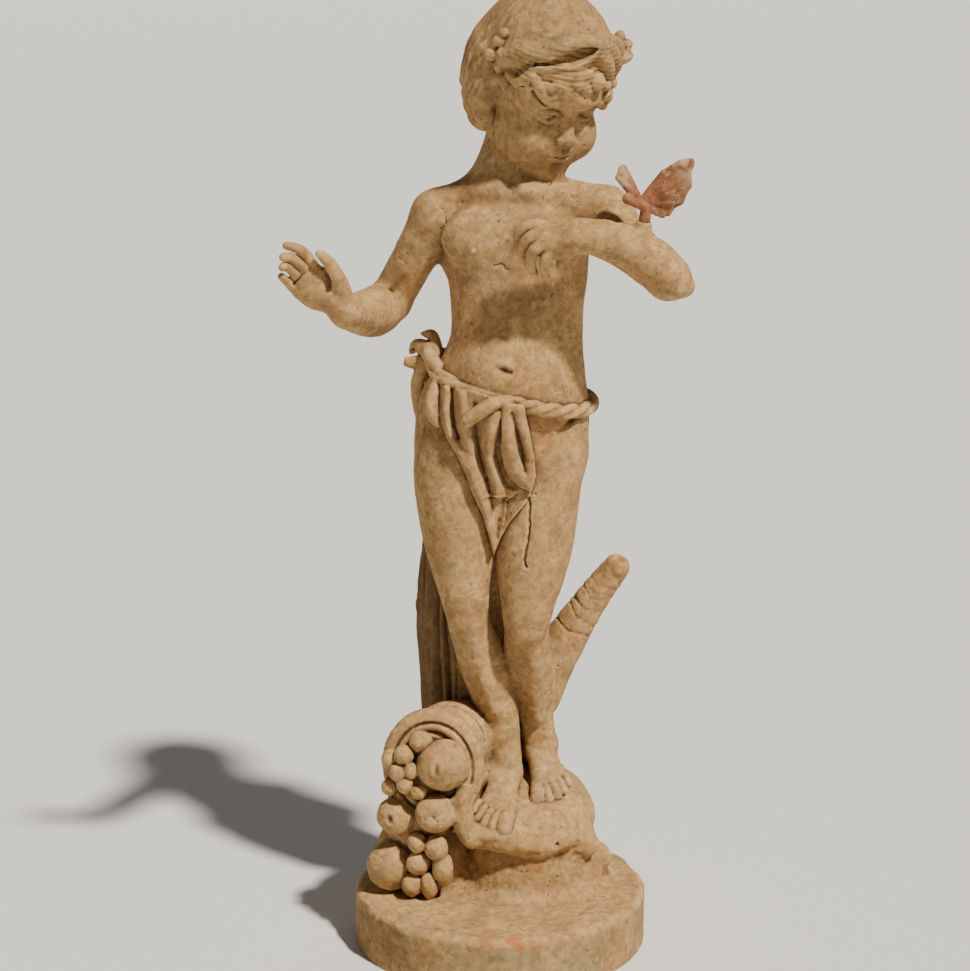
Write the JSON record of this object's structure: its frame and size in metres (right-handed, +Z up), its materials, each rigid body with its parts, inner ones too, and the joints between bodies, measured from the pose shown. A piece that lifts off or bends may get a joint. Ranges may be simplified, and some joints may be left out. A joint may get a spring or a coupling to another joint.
{
  "type": "garden statue",
  "caption": "Weathered terracotta garden statue of a standing child with a butterfly on one arm, a tree trunk behind and a horn of fruit at the feet, on a low round base.",
  "frame": {"origin": "centre of the flat round underside, which stands on the ground", "axes": "+Z up, the statue's front faces -Y, +X is the figure's left, the viewer's right"},
  "size_m": [0.4937, 0.37, 1.1995],
  "materials": {
    "weathered_terracotta": "Fired terracotta, not plastic: buff-ochre, dry and matte, weathered outdoors, with dark brown dirt in the hollows, small pits and a few worn red patches.",
    "red_terracotta": "Fired terracotta, not plastic: a redder clay than the statue's, matte, with buff wear along the raised edges."
  },
  "bodies": {
    "root": {"statue": "weathered_terracotta", "butterfly": "red_terracotta"}
  },
  "joints": []
}
